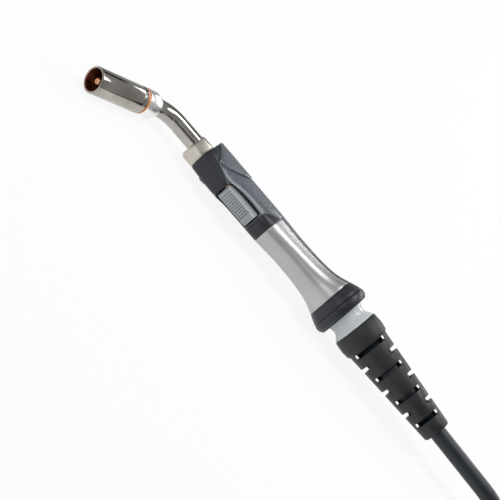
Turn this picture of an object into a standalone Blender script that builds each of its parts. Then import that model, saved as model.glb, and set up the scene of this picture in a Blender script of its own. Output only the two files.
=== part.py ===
"""Gas-cooled MIG welding torch: swan neck, handle, ball joint, cable and central connector.

The torch lies on its side on the floor.  Torch frame: X runs rearward along the handle from
its front face, Y points away from the trigger, Z is the side that faces up.
"""

import math

import bmesh
import bpy
from mathutils import Euler, Matrix, Vector

# ---------------------------------------------------------------- driving sizes, metres
GAP = 0.0003                # clearance between pieces that touch

NECK_RADIUS = 0.0090
NECK_BORE = 0.0065
NECK_DROP = 0.0035          # neck axis below the handle axis
NECK_REACH = 0.040          # straight neck in front of the handle
NECK_BEND_RADIUS = 0.030
NECK_BEND = math.radians(52)
NECK_INSET = 0.032          # neck inside the handle

NOZZLE_RADIUS = 0.0135
NOZZLE_WALL = 0.0024
NOZZLE_LENGTH = 0.062
COLLAR_LENGTH = 0.018
COLLAR_START = 0.004        # straight neck seen before the collar
SEAL_RING_WIDTH = 0.0018
TIP_RADIUS = 0.0035
TIP_RECESS = 0.0045

HANDLE_WALL = 0.0045
GRIP_DEPTH = 0.0022
COVER_DEPTH = 0.0025
COVER_PROUD = 0.0010
COVER_END = 0.0445
CREASE_X = 0.014
CHIN_END = 0.035
GRIP_FRONT = 0.0925
GRIP_REAR = 0.180
GRIP_EDGE = 0.0040          # height of the grip's upper edge
BAND_REAR = 0.191
HANDLE_LENGTH = 0.2015

LOWER_FRONT = 0.0790           # the lower shell starts just behind the trigger
TRIGGER_FRONT = 0.0370
TRIGGER_LENGTH = 0.0390
TRIGGER_HALF_WIDTH = 0.0082
TRIGGER_FACE = 0.0280
RIB_HALF_WIDTH = 0.0066
SLOPE_ANGLE = math.radians(19)
TRIGGER_RIBS = 11
RECESS_HALF_WIDTH = 0.0112
RECESS_TOP = -0.0136
PIN_X = 0.0405
PIN_DROP = 0.0165
PIN_RADIUS = 0.0010
PIN_HALF_LENGTH = 0.0121

BALL_X = 0.1955
BALL_RADIUS = 0.0205
LINER_WALL = 0.0015
BALL_WAIST = 0.0178
BALL_DROOP = math.radians(2.4)
BALL_VISIBLE = 0.0158

BOOT_LENGTH = 0.1264
BOOT_COLLAR_RADIUS = 0.0233
BOOT_COLLAR_LENGTH = 0.020
BOOT_END_RADIUS = 0.0140
BOOT_WALL = 0.0035
BOOT_SLOTS = 7
SLOT_FIRST = 0.0030         # first slot's middle, from the collar's rear
SLOT_PITCH = 0.0144
SLOT_WIDTH = 0.0048
SLOT_SHARE = 0.82           # slot's half width over the boot's radius; the rest is web
SLOT_TURN = -math.radians(25)

CABLE_RADIUS = 0.00825
COIL_X = 0.5504             # middle of the coil's first bend
COIL_Y = -0.048
COIL_RUN = 0.155            # straight run between the coil's two bends
COIL_INNER_TURN = 0.0495
COIL_ACROSS = 2             # cable widths across each side
COIL_HIGH = 2
CABLE_PITCH = 0.0170        # cable to cable in the coil
NUT_RADIUS = 0.0225         # connector's hand nut, which rests on the coil
TAIL_RISE = 0.078           # last stretch, which climbs to the connector
CABLE_STRAIGHT = 0.070      # cable in line with the boot before it sinks to the floor

# x, top, bottom, half width, narrowing toward the bottom, squareness of the section
HANDLE_SECTIONS = (
    (0.000, 0.0165, -0.0200, 0.0148, 0.03, 4.6),
    (0.014, 0.0166, -0.0228, 0.0150, 0.06, 4.6),
    (0.034, 0.0168, -0.0288, 0.0152, 0.26, 4.4),
    (0.048, 0.0170, -0.0232, 0.0153, 0.14, 3.9),
    (0.078, 0.0171, -0.0228, 0.0154, 0.14, 3.7),
    (0.095, 0.0172, -0.0226, 0.0156, 0.12, 3.2),
    (0.120, 0.0165, -0.0194, 0.0150, 0.08, 3.0),
    (0.150, 0.0170, -0.0194, 0.0162, 0.05, 2.7),
    (0.168, 0.0190, -0.0205, 0.0190, 0.00, 2.4),
    (0.180, 0.0225, -0.0235, 0.0238, 0.00, 2.2),
    (0.191, 0.0262, -0.0270, 0.0282, 0.00, 2.1),
    (0.197, 0.0268, -0.0275, 0.0290, 0.00, 2.1),
    (0.2015, 0.0240, -0.0245, 0.0262, 0.00, 2.1),
)
CAP_RADIUS = 0.0290
CAP_WIDEST_X = 0.197

for old in list(bpy.data.objects):
    bpy.data.objects.remove(old, do_unlink=True)

torch_parts = bpy.data.collections.new("mig_welding_torch")
cutters = bpy.data.collections.new("cutters")
bpy.context.scene.collection.children.link(torch_parts)
bpy.context.scene.collection.children.link(cutters)


# ---------------------------------------------------------------- making things
def material(name, colour, metallic, roughness):
    made = bpy.data.materials.new(name)
    made.use_nodes = True
    shader = made.node_tree.nodes["Principled BSDF"]
    shader.inputs["Base Color"].default_value = (*colour, 1.0)
    shader.inputs["Metallic"].default_value = metallic
    shader.inputs["Roughness"].default_value = roughness
    return made


def keep(name, mesh, parent, finish):
    """One named sub-part, with a material of its own; without a finish, a cutter."""
    piece = bpy.data.objects.new(name, mesh)
    piece.parent = parent
    if finish is None:
        cutters.objects.link(piece)
        piece.hide_render = True
        piece.display_type = "WIRE"
        return piece
    torch_parts.objects.link(piece)
    mesh.materials.clear()
    mesh.materials.append(material(name, *finish))
    return piece


def smooth(piece, degrees=35):
    for face in piece.data.polygons:
        face.use_smooth = True
    piece.data.set_sharp_from_angle(angle=math.radians(degrees))


def turned(name, profile, parent, finish, steps=40):
    """Turn (x, radius) points about the parent's X axis; they run front to rear outside,
    then rear to front along a bore if there is one."""
    mesh = bpy.data.meshes.new(name)
    closed = profile[0][1] > 0
    points = [(radius, 0.0, x) for x, radius in reversed(profile)]
    edges = [(i, i + 1) for i in range(len(points) - 1)]
    if closed:
        edges.append((len(points) - 1, 0))
    mesh.from_pydata(points, edges, [])
    piece = keep(name, mesh, parent, finish)
    piece.rotation_euler = (0.0, math.radians(90), 0.0)
    screw = piece.modifiers.new("turn", "SCREW")
    screw.steps = steps
    screw.render_steps = steps
    screw.use_merge_vertices = True
    screw.merge_threshold = 0.00001
    screw.use_smooth_shade = True
    return piece


def plate(name, outline, half_thickness, parent, finish, bevel=0.0):
    """A flat XY outline, thickened both ways along Z."""
    curve = bpy.data.curves.new(name, "CURVE")
    curve.dimensions = "2D"
    curve.fill_mode = "BOTH"
    curve.extrude = half_thickness
    spline = curve.splines.new("POLY")
    spline.points.add(len(outline) - 1)
    for point, (x, y) in zip(spline.points, outline):
        point.co = (x, y, 0.0, 1.0)
    spline.use_cyclic_u = True
    mesh = as_mesh(curve)
    piece = keep(name, mesh, parent, finish)
    if bevel:
        rounded(piece, bevel)
    return piece


def tube(name, route, radius, parent, finish, sides=3):
    """A round bar or cord along a smooth route."""
    curve = bpy.data.curves.new(name, "CURVE")
    curve.dimensions = "3D"
    curve.bevel_depth = radius
    curve.bevel_resolution = sides
    curve.use_fill_caps = True
    spline = curve.splines.new("POLY")
    spline.points.add(len(route) - 1)
    for point, place in zip(spline.points, route):
        point.co = (*place, 1.0)
    piece = keep(name, as_mesh(curve), parent, finish)
    smooth(piece)
    return piece


def as_mesh(curve):
    holder = bpy.data.objects.new(curve.name, curve)
    bpy.context.scene.collection.objects.link(holder)
    bpy.context.view_layer.update()
    ready = holder.evaluated_get(bpy.context.evaluated_depsgraph_get())
    mesh = bpy.data.meshes.new_from_object(ready)
    shape = bmesh.new()
    shape.from_mesh(mesh)
    bmesh.ops.remove_doubles(shape, verts=shape.verts, dist=0.00001)
    bmesh.ops.recalc_face_normals(shape, faces=shape.faces)
    shape.to_mesh(mesh)
    shape.free()
    bpy.data.objects.remove(holder, do_unlink=True)
    return mesh


def block(name, low, high, parent, finish, bevel=0.0):
    mesh = bpy.data.meshes.new(name)
    shape = bmesh.new()
    bmesh.ops.create_cube(shape, size=1.0)
    size = Vector(high) - Vector(low)
    middle = (Vector(high) + Vector(low)) / 2
    bmesh.ops.scale(shape, vec=size, verts=shape.verts)
    bmesh.ops.translate(shape, vec=middle, verts=shape.verts)
    shape.to_mesh(mesh)
    shape.free()
    piece = keep(name, mesh, parent, finish)
    if bevel:
        rounded(piece, bevel)
    return piece


def rounded(piece, width):
    bevel = piece.modifiers.new("rounded", "BEVEL")
    bevel.width = width
    bevel.segments = 2
    bevel.limit_method = "ANGLE"
    bevel.angle_limit = math.radians(40)


def combine(piece, other, operation="DIFFERENCE"):
    step = piece.modifiers.new(operation.lower(), "BOOLEAN")
    step.object = other
    step.operation = operation
    step.solver = "EXACT"


def hinge_at(piece, place):
    """Moves the piece's origin onto its joint, leaving its shape where it is."""
    piece.data.transform(Matrix.Translation(-Vector(place)))
    piece.location = place


def section_at(x):
    """The handle's section at any length, read smoothly from the table."""
    rows = HANDLE_SECTIONS
    last = len(rows) - 2
    index = 0
    while index < last and x > rows[index + 1][0]:
        index += 1
    here, there = rows[index], rows[index + 1]
    before = rows[max(index - 1, 0)]
    after = rows[min(index + 2, len(rows) - 1)]
    span = there[0] - here[0]
    t = min(max((x - here[0]) / span, 0.0), 1.0)
    values = []
    for k in range(1, 6):
        slope_here = (there[k] - before[k]) / (there[0] - before[0]) * span
        slope_there = (after[k] - here[k]) / (after[0] - here[0]) * span
        values.append(
            (2 * t**3 - 3 * t**2 + 1) * here[k]
            + (t**3 - 2 * t**2 + t) * slope_here
            + (-2 * t**3 + 3 * t**2) * there[k]
            + (t**3 - t**2) * slope_there
        )
    return values


def handle_solid(name, grow, start, end, parent, finish=None, soften=0.0):
    """The handle's outside, grown or shrunk all round, between two lengths."""
    around = 28
    steps = max(3, round((end - start) / 0.0075))
    lengths = [start + (end - start) * i / steps for i in range(steps + 1)]
    shrinks = [0.0] * len(lengths)
    if soften:
        lengths.insert(1, start + soften * 0.35)
        lengths.insert(2, start + soften)
        shrinks = [soften, soften * 0.3, 0.0] + [0.0] * (len(lengths) - 3)
    mesh = bpy.data.meshes.new(name)
    shape = bmesh.new()
    rings = []
    for x, shrink in zip(lengths, shrinks):
        top, bottom, half, taper, power = section_at(x)
        top += grow - shrink
        bottom -= grow - shrink
        half += grow - shrink
        ring = []
        for i in range(around):
            angle = 2 * math.pi * (i + 0.5) / around
            c, s = math.cos(angle), math.sin(angle)
            y = (top + bottom) / 2 + (top - bottom) / 2 * math.copysign(abs(s) ** (2 / power), s)
            depth = (top - y) / (top - bottom)
            z = half * math.copysign(abs(c) ** (2 / power), c) * (1 - taper * depth**3)
            ring.append(shape.verts.new((x, y, z)))
        rings.append(ring)
    for front, rear in zip(rings, rings[1:]):
        for i in range(around):
            j = (i + 1) % around
            shape.faces.new((front[i], front[j], rear[j], rear[i]))
    shape.faces.new(rings[0])
    shape.faces.new(reversed(rings[-1]))
    bmesh.ops.recalc_face_normals(shape, faces=shape.faces)
    shape.to_mesh(mesh)
    shape.free()
    piece = keep(name, mesh, parent, finish)
    smooth(piece, 40)
    return piece


# ---------------------------------------------------------------- frames
nozzle_front_x = -NECK_REACH - NECK_BEND_RADIUS * math.sin(NECK_BEND)
nozzle_front_x -= (COLLAR_START + COLLAR_LENGTH + SEAL_RING_WIDTH + 2 * GAP + NOZZLE_LENGTH) * math.cos(NECK_BEND)
TILT = math.atan2(CAP_RADIUS - NOZZLE_RADIUS, CAP_WIDEST_X - nozzle_front_x)
TORCH_HEIGHT = NOZZLE_RADIUS * math.cos(TILT) - nozzle_front_x * math.sin(TILT)


def frame_at(name, place, turn, parent=None):
    empty = bpy.data.objects.new(name, None)
    empty.location = place
    empty.rotation_euler = turn
    empty.parent = parent
    torch_parts.objects.link(empty)
    return empty


torch = frame_at("torch_frame", (0.0, 0.0, TORCH_HEIGHT), (0.0, -TILT, 0.0))
neck_end = (
    -NECK_REACH - NECK_BEND_RADIUS * math.sin(NECK_BEND),
    -NECK_DROP - NECK_BEND_RADIUS * (1 - math.cos(NECK_BEND)),
    0.0,
)
nose = frame_at("nozzle_frame", neck_end, (0.0, 0.0, NECK_BEND), torch)
boot = frame_at("boot_frame", (BALL_X, 0.0, 0.0), (0.0, BALL_DROOP, 0.0), torch)
neck_line = frame_at("neck_line_frame", (0.0, -NECK_DROP, 0.0), (0.0, 0.0, 0.0), torch)

# ---------------------------------------------------------------- finishes: colour, metallic, roughness
NICKEL = ((0.72, 0.72, 0.73), 1.0, 0.18)
SATIN = ((0.62, 0.59, 0.54), 1.0, 0.38)
COPPER = ((0.80, 0.42, 0.25), 1.0, 0.35)
BRASS = ((0.78, 0.58, 0.28), 1.0, 0.32)
STEEL = ((0.55, 0.55, 0.56), 1.0, 0.30)
CHARCOAL = ((0.035, 0.037, 0.042), 0.0, 0.45)
BLUE_GREY = ((0.07, 0.085, 0.11), 0.0, 0.25)
SILVER = ((0.50, 0.51, 0.53), 0.6, 0.35)
PALE = ((0.80, 0.81, 0.80), 0.0, 0.35)
ORANGE = ((0.75, 0.22, 0.06), 0.0, 0.5)
RUBBER = ((0.02, 0.02, 0.022), 0.0, 0.6)
JACKET = ((0.02, 0.025, 0.035), 0.0, 0.5)

# ---------------------------------------------------------------- neck and nozzle
collar_rear = -COLLAR_START
collar_front = collar_rear - COLLAR_LENGTH
ring_front = collar_front - GAP - SEAL_RING_WIDTH
nozzle_rear = ring_front - GAP
nozzle_front = nozzle_rear - NOZZLE_LENGTH
nozzle_bore = NOZZLE_RADIUS - NOZZLE_WALL
SPIGOT_RADIUS = 0.0088      # the collar's front, inside ring and nozzle
SLEEVE_LENGTH = 0.016
DIFFUSER_RADIUS = 0.0062
DIFFUSER_LENGTH = 0.020
HOLDER_RADIUS = 0.0050
HOLDER_LENGTH = 0.012


def neck_route():
    points = [(NECK_INSET, 0.0), (-NECK_REACH * 0.5, 0.0)]
    for i in range(11):
        angle = NECK_BEND * i / 10
        points.append((
            -NECK_REACH - NECK_BEND_RADIUS * math.sin(angle),
            -NECK_BEND_RADIUS * (1 - math.cos(angle)),
        ))
    straight = COLLAR_START + COLLAR_LENGTH * 0.45
    x, y = points[-1]
    points.append((x - straight * math.cos(NECK_BEND), y - straight * math.sin(NECK_BEND)))
    return [(x, y, 0.0) for x, y in points]


swan_neck = tube("swan_neck", neck_route(), NECK_RADIUS, neck_line, NICKEL, sides=6)

step = collar_rear - COLLAR_LENGTH * 0.5
turned("nozzle_collar", [
    (collar_front - SLEEVE_LENGTH, SPIGOT_RADIUS),
    (collar_front, SPIGOT_RADIUS),
    (collar_front, NOZZLE_RADIUS - 0.0008),
    (collar_front + 0.0008, NOZZLE_RADIUS),
    (collar_rear - 0.0060, NOZZLE_RADIUS),
    (collar_rear - 0.0030, NOZZLE_RADIUS - 0.0014),
    (collar_rear - 0.0022, NECK_RADIUS + 0.0022),
    (collar_rear, NECK_RADIUS + 0.0018),
    (collar_rear, NECK_RADIUS + GAP),
    (step, NECK_RADIUS + GAP),
    (step, DIFFUSER_RADIUS * 0.5),
    (collar_front - SLEEVE_LENGTH, DIFFUSER_RADIUS * 0.5),
], nose, NICKEL)

turned("nozzle_seal_ring", [
    (ring_front, NOZZLE_RADIUS - 0.0003),
    (collar_front - GAP, NOZZLE_RADIUS - 0.0003),
    (collar_front - GAP, SPIGOT_RADIUS + GAP),
    (ring_front, SPIGOT_RADIUS + GAP),
], nose, ORANGE)

gas_nozzle = turned("gas_nozzle", [
    (nozzle_front, nozzle_bore + 0.0008),
    (nozzle_front, NOZZLE_RADIUS - 0.0008),
    (nozzle_front + 0.0008, NOZZLE_RADIUS),
    (nozzle_rear - 0.0058, NOZZLE_RADIUS),
    (nozzle_rear - 0.0055, NOZZLE_RADIUS - 0.0005),
    (nozzle_rear - 0.0048, NOZZLE_RADIUS - 0.0005),
    (nozzle_rear - 0.0045, NOZZLE_RADIUS),
    (nozzle_rear - 0.0006, NOZZLE_RADIUS),
    (nozzle_rear, NOZZLE_RADIUS - 0.0006),
    (nozzle_rear, SPIGOT_RADIUS + GAP),
    (nozzle_rear - SLEEVE_LENGTH - 0.002, SPIGOT_RADIUS + GAP),
    (nozzle_rear - SLEEVE_LENGTH - 0.004, nozzle_bore),
    (nozzle_front + 0.0008, nozzle_bore),
], nose, NICKEL, steps=48)

diffuser_rear = collar_front - SLEEVE_LENGTH - GAP
diffuser_front = diffuser_rear - DIFFUSER_LENGTH
gas_diffuser = turned("gas_diffuser", [
    (diffuser_front, 0.0),
    (diffuser_front, DIFFUSER_RADIUS - 0.0006),
    (diffuser_front + 0.0006, DIFFUSER_RADIUS),
    (diffuser_rear, DIFFUSER_RADIUS),
    (diffuser_rear, 0.0),
], nose, BRASS, steps=32)
for number in range(3):
    hole = turned(f"gas_hole_{number}", [
        (-0.010, 0.0), (-0.010, 0.0011), (0.010, 0.0011), (0.010, 0.0),
    ], nose, None, steps=12)
    hole.location = ((diffuser_front + diffuser_rear) / 2, 0.0, 0.0)
    hole.rotation_euler = (math.pi * number / 3, 0.0, 0.0)
    combine(gas_diffuser, hole)

holder_rear = diffuser_front - GAP
holder_front = holder_rear - HOLDER_LENGTH
turned("tip_holder", [
    (holder_front, 0.0),
    (holder_front, HOLDER_RADIUS - 0.0010),
    (holder_front + 0.0010, HOLDER_RADIUS),
    (holder_rear, HOLDER_RADIUS),
    (holder_rear, 0.0),
], nose, BRASS, steps=24)

tip_rear = holder_front - GAP
tip_front = nozzle_front + TIP_RECESS
turned("contact_tip", [
    (tip_front, 0.0006),
    (tip_front, TIP_RADIUS - 0.0010),
    (tip_front + 0.0010, TIP_RADIUS),
    (tip_rear, TIP_RADIUS),
    (tip_rear, 0.0006),
], nose, COPPER, steps=24)

# ---------------------------------------------------------------- key block under the neck
BLOCK_FRONT = -0.0157
BLOCK_REAR = -GAP
block_outline = [
    (-0.0140, -0.0154), (0.0030, -0.0154), (0.0114, -0.0060), (0.0110, -0.0010),
    (0.0000, -0.0010), (-0.0140, -0.0010),
]


def key_block():
    """A chamfered block that saddles the underside of the neck; sections run along X."""
    mesh = bpy.data.meshes.new("neck_key_block")
    shape = bmesh.new()
    rings = []
    for x, inset in ((BLOCK_FRONT, 0.0022), (BLOCK_FRONT + 0.0030, 0.0), (BLOCK_REAR, 0.0)):
        rings.append([
            shape.verts.new((x, y + (inset if y < -0.004 else 0.0), z - math.copysign(inset * 0.6, z)))
            for z, y in block_outline
        ])
    count = len(block_outline)
    for front, rear in zip(rings, rings[1:]):
        for i in range(count):
            j = (i + 1) % count
            shape.faces.new((front[i], front[j], rear[j], rear[i]))
    shape.faces.new(rings[0])
    shape.faces.new(reversed(rings[-1]))
    bmesh.ops.recalc_face_normals(shape, faces=shape.faces)
    shape.to_mesh(mesh)
    shape.free()
    piece = keep("neck_key_block", mesh, torch, SATIN)
    rounded(piece, 0.0009)
    return piece


neck_block = key_block()
neck_clearance = turned("neck_clearance", [
    (-0.025, 0.0), (-0.025, NECK_RADIUS + GAP), (NECK_INSET + GAP, NECK_RADIUS + GAP), (NECK_INSET + GAP, 0.0),
], neck_line, None)
combine(neck_block, neck_clearance)

# ---------------------------------------------------------------- handle shells
far = 0.060


def nose_outline(grow):
    return [
        (-0.010, -far), (-0.010, 0.0095 + grow), (grow, 0.0095 + grow), (CREASE_X + grow, -0.0195 + grow),
        (CHIN_END + grow, -0.0272 + grow), (CHIN_END + grow, -far),
    ]


def lower_outline(grow):
    return [
        (LOWER_FRONT - grow, -far), (LOWER_FRONT - grow, -0.0165 + grow), (GRIP_FRONT - 0.002, -0.004 + grow),
        (GRIP_REAR + 0.020, -0.004 + grow), (GRIP_REAR + 0.020, -far),
    ]


def cover_outline(grow):
    return [
        (-0.010, 0.0095 + GAP - grow), (GAP, 0.0095 + GAP - grow), (CREASE_X + GAP, -0.0192 + GAP - grow),
        (0.0252 + grow, -0.0145 - grow), (COVER_END + grow, 0.0060 - grow), (COVER_END + grow, far),
        (-0.010, far),
    ]


cavity = handle_solid("handle_cavity", -HANDLE_WALL, 0.0060, GRIP_REAR + 0.001, torch)
under_grip = handle_solid("under_grip", -GRIP_DEPTH - GAP, 0.060, GRIP_REAR + 0.008, torch)
under_cover = handle_solid("under_cover", -COVER_DEPTH - GAP, -0.006, 0.060, torch)
nose_cut = plate("nose_cut", nose_outline(0.0), far, torch, None)
nose_cut_wide = plate("nose_cut_wide", nose_outline(GAP), far, torch, None)
lower_cut = plate("lower_cut", lower_outline(0.0), far, torch, None)
lower_cut_wide = plate("lower_cut_wide", lower_outline(GAP), far, torch, None)

cover_zone = plate("cover_zone", cover_outline(0.0), far, torch, None)
cover_bed = plate("cover_bed", cover_outline(GAP), far, torch, None)
combine(cover_bed, under_cover)

grip_zone = block("grip_zone", (GRIP_FRONT, -far, -far), (GRIP_REAR, GRIP_EDGE, far), torch, None)
grip_bed = block("grip_bed", (GRIP_FRONT - GAP, -far, -far), (GRIP_REAR + 0.010, GRIP_EDGE + GAP, far), torch, None)
combine(grip_bed, under_grip)

recess = block(
    "trigger_recess", (TRIGGER_FRONT - 0.0015, -far, -RECESS_HALF_WIDTH),
    (TRIGGER_FRONT + TRIGGER_LENGTH + 0.0015, RECESS_TOP, RECESS_HALF_WIDTH), torch, None, bevel=0.003,
)
pin_clearance = block(
    "pin_clearance", (PIN_X - PIN_RADIUS - GAP, -PIN_DROP - PIN_RADIUS - GAP, -PIN_HALF_LENGTH - GAP),
    (PIN_X + PIN_RADIUS + GAP, -PIN_DROP + PIN_RADIUS + GAP, PIN_HALF_LENGTH + GAP), torch, None,
)

shell_rear = GRIP_REAR
housing = handle_solid("handle_housing", 0.0, 0.0, shell_rear, torch, BLUE_GREY, soften=0.0010)
for cutter in (nose_cut_wide, lower_cut_wide, cover_bed, grip_bed, cavity, neck_clearance, recess, pin_clearance):
    combine(housing, cutter)

handle_nose = handle_solid("handle_nose", 0.0, 0.0, 0.050, torch, CHARCOAL, soften=0.0010)
combine(handle_nose, nose_cut, "INTERSECT")
for cutter in (cavity, neck_clearance, recess, pin_clearance):
    combine(handle_nose, cutter)

lower_shell = handle_solid("handle_lower_shell", 0.0, 0.070, shell_rear, torch, CHARCOAL)
combine(lower_shell, lower_cut, "INTERSECT")
for cutter in (grip_bed, cavity, recess):
    combine(lower_shell, cutter)

top_cover = handle_solid("top_cover", COVER_PROUD, 0.0, 0.060, torch, BLUE_GREY, soften=0.0010)
combine(top_cover, cover_zone, "INTERSECT")
cover_hollow = handle_solid("cover_hollow", -COVER_DEPTH, -0.004, 0.070, torch)
combine(top_cover, cover_hollow)
combine(top_cover, neck_clearance)

soft_grip = handle_solid("soft_grip", 0.0, 0.080, GRIP_REAR + 0.004, torch, SILVER)
combine(soft_grip, grip_zone, "INTERSECT")
grip_hollow = handle_solid("grip_hollow", -GRIP_DEPTH, 0.070, GRIP_REAR + 0.009, torch)
combine(soft_grip, grip_hollow)

# ---------------------------------------------------------------- end band, cap and ball joint
socket = turned("ball_socket", [(BALL_X - BALL_RADIUS, 0.0)] + [
    (
        BALL_X - (BALL_RADIUS + 2 * GAP + LINER_WALL) * math.cos(math.radians(a)),
        (BALL_RADIUS + 2 * GAP + LINER_WALL) * math.sin(math.radians(a)),
    )
    for a in range(36, 101, 8)
] + [(BALL_X + 0.0045, BALL_RADIUS - 0.0001), (BALL_X + 0.020, BALL_RADIUS - 0.0001), (BALL_X + 0.020, 0.0)],
    torch, None)
band_hollow = turned("band_hollow", [
    (GRIP_REAR - 0.002, 0.0), (GRIP_REAR - 0.002, 0.0165), (BALL_X - 0.010, 0.0165), (BALL_X - 0.010, 0.0),
], torch, None)
end_band = handle_solid("end_band", 0.0, GRIP_REAR + GAP, BAND_REAR, torch, CHARCOAL)
combine(end_band, band_hollow)
combine(end_band, socket)
end_cap = handle_solid("end_cap", 0.0, BAND_REAR + GAP, HANDLE_LENGTH, torch, CHARCOAL)
rounded(end_cap, 0.0009)
combine(end_cap, socket)

liner_half = 0.0030
liner_angles = [math.degrees(math.asin(liner_half / BALL_RADIUS)) * k for k in (-1.0, -0.5, 0.0, 0.5, 1.0)]
turned("ball_liner", [
    (
        BALL_X + (BALL_RADIUS + GAP + LINER_WALL) * math.sin(math.radians(a)),
        (BALL_RADIUS + GAP + LINER_WALL) * math.cos(math.radians(a)),
    )
    for a in liner_angles
] + [
    (
        BALL_X + (BALL_RADIUS + GAP) * math.sin(math.radians(a)),
        (BALL_RADIUS + GAP) * math.cos(math.radians(a)),
    )
    for a in reversed(liner_angles)
], torch, PALE)

boot_front = HANDLE_LENGTH + BALL_VISIBLE - BALL_X
boot_rear = boot_front + BOOT_LENGTH
SPIGOT = 0.0150
turned("ball_collar", [
    (-0.0150, CABLE_RADIUS + GAP),
    (-0.0150, 0.0135),
] + [
    (-BALL_RADIUS * math.cos(math.radians(a)), BALL_RADIUS * math.sin(math.radians(a)))
    for a in range(45, 119, 8)
] + [
    (0.0125, BALL_WAIST),
    (0.0155, BALL_WAIST + 0.0006),
    (boot_front - GAP - 0.0015, BOOT_COLLAR_RADIUS - 0.0015),
    (boot_front - GAP, BOOT_COLLAR_RADIUS - 0.0008),
    (boot_front - GAP, SPIGOT),
    (boot_front + 0.012, SPIGOT),
    (boot_front + 0.012, CABLE_RADIUS + GAP),
], boot, PALE)

# ---------------------------------------------------------------- slotted boot
shoulder = boot_front + BOOT_COLLAR_LENGTH
cable_boot = turned("cable_boot", [
    (boot_front, BOOT_COLLAR_RADIUS - 0.0008),
    (boot_front + 0.0010, BOOT_COLLAR_RADIUS),
    (boot_front + BOOT_COLLAR_LENGTH * 0.55, BOOT_COLLAR_RADIUS + 0.0006),
    (shoulder - 0.0015, BOOT_COLLAR_RADIUS - 0.0004),
    (shoulder, BOOT_COLLAR_RADIUS - 0.0022),
    (shoulder + 0.010, BOOT_COLLAR_RADIUS - 0.0030),
    (boot_rear - 0.0025, BOOT_END_RADIUS),
    (boot_rear - 0.0006, BOOT_END_RADIUS - 0.0008),
    (boot_rear, BOOT_END_RADIUS - 0.0025),
    (boot_rear, CABLE_RADIUS + GAP),
    (boot_rear - 0.010, CABLE_RADIUS + GAP),
    (boot_rear - 0.016, BOOT_END_RADIUS - BOOT_WALL + 0.0006),
    (shoulder + 0.004, BOOT_COLLAR_RADIUS - 0.0030 - BOOT_WALL),
    (shoulder - 0.004, SPIGOT + GAP),
    (boot_front, SPIGOT + GAP),
], boot, RUBBER, steps=40)
for number in range(BOOT_SLOTS):
    middle = shoulder + SLOT_FIRST + SLOT_PITCH * number
    share = (middle - shoulder) / (boot_rear - shoulder)
    outside = BOOT_COLLAR_RADIUS - 0.0030 + (BOOT_END_RADIUS - BOOT_COLLAR_RADIUS + 0.0030) * share
    width = outside * SLOT_SHARE
    near, away = middle - SLOT_WIDTH / 2, middle + SLOT_WIDTH / 2
    if number % 2:
        low, high = (near, -width, -far), (away, width, far)
    else:
        low, high = (near, -far, -width), (away, far, width)
    slot = block(f"boot_slot_{number}", low, high, boot, None)
    slot.rotation_euler = (SLOT_TURN, 0.0, 0.0)
    combine(cable_boot, slot)

# ---------------------------------------------------------------- inside the handle
coupling_rear = 0.058
COUPLING_RADIUS = 0.0098
turned("neck_coupling", [
    (NECK_INSET + GAP, 0.0), (NECK_INSET + GAP, NECK_RADIUS + GAP), (0.0130, NECK_RADIUS + GAP),
    (0.0130, COUPLING_RADIUS), (coupling_rear, COUPLING_RADIUS), (coupling_rear, 0.0),
], neck_line, BRASS, steps=32)

INNER_CABLE_REAR = 0.172
FERRULE_RADIUS = 0.0060
FERRULE_LENGTH = 0.0215
ferrule_front = coupling_rear + GAP
ferrule_rear = ferrule_front + FERRULE_LENGTH
turned("cable_ferrule", [
    (ferrule_front, 0.0), (ferrule_front, FERRULE_RADIUS), (ferrule_rear, FERRULE_RADIUS), (ferrule_rear, 0.0),
], neck_line, COPPER, steps=32)
turned("inner_cable", [
    (ferrule_rear + GAP, 0.0), (ferrule_rear + GAP, 0.0078),
    (INNER_CABLE_REAR, 0.0078), (INNER_CABLE_REAR, 0.0),
], neck_line, JACKET, steps=32)

# ---------------------------------------------------------------- trigger and switch
TRIGGER_TOP = -0.0158
TRIGGER_ANGLE = math.radians(3)
trigger_rear = TRIGGER_FRONT + TRIGGER_LENGTH
rib_start = TRIGGER_FRONT + 0.0035
rib_end = trigger_rear - 0.0070
rib_pitch = (rib_end - rib_start) / TRIGGER_RIBS


def trigger_outline():
    points = [(TRIGGER_FRONT, -PIN_DROP + 0.0019), (TRIGGER_FRONT, -TRIGGER_FACE + 0.0035), (TRIGGER_FRONT + 0.0015, -TRIGGER_FACE + 0.0008)]
    for i in range(TRIGGER_RIBS):
        x = rib_start + rib_pitch * i
        points += [
            (x, -TRIGGER_FACE), (x + rib_pitch * 0.55, -TRIGGER_FACE),
            (x + rib_pitch * 0.62, -TRIGGER_FACE + 0.0012), (x + rib_pitch * 0.93, -TRIGGER_FACE + 0.0012),
        ]
    points += [
        (rib_end, -TRIGGER_FACE - 0.0006), (trigger_rear - 0.0020, -TRIGGER_FACE - 0.0004),
        (trigger_rear, -TRIGGER_FACE + 0.0016), (trigger_rear, TRIGGER_TOP),
        (PIN_X + 0.0050, TRIGGER_TOP), (PIN_X + 0.0036, -PIN_DROP + 0.0019),
    ]
    return points


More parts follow.
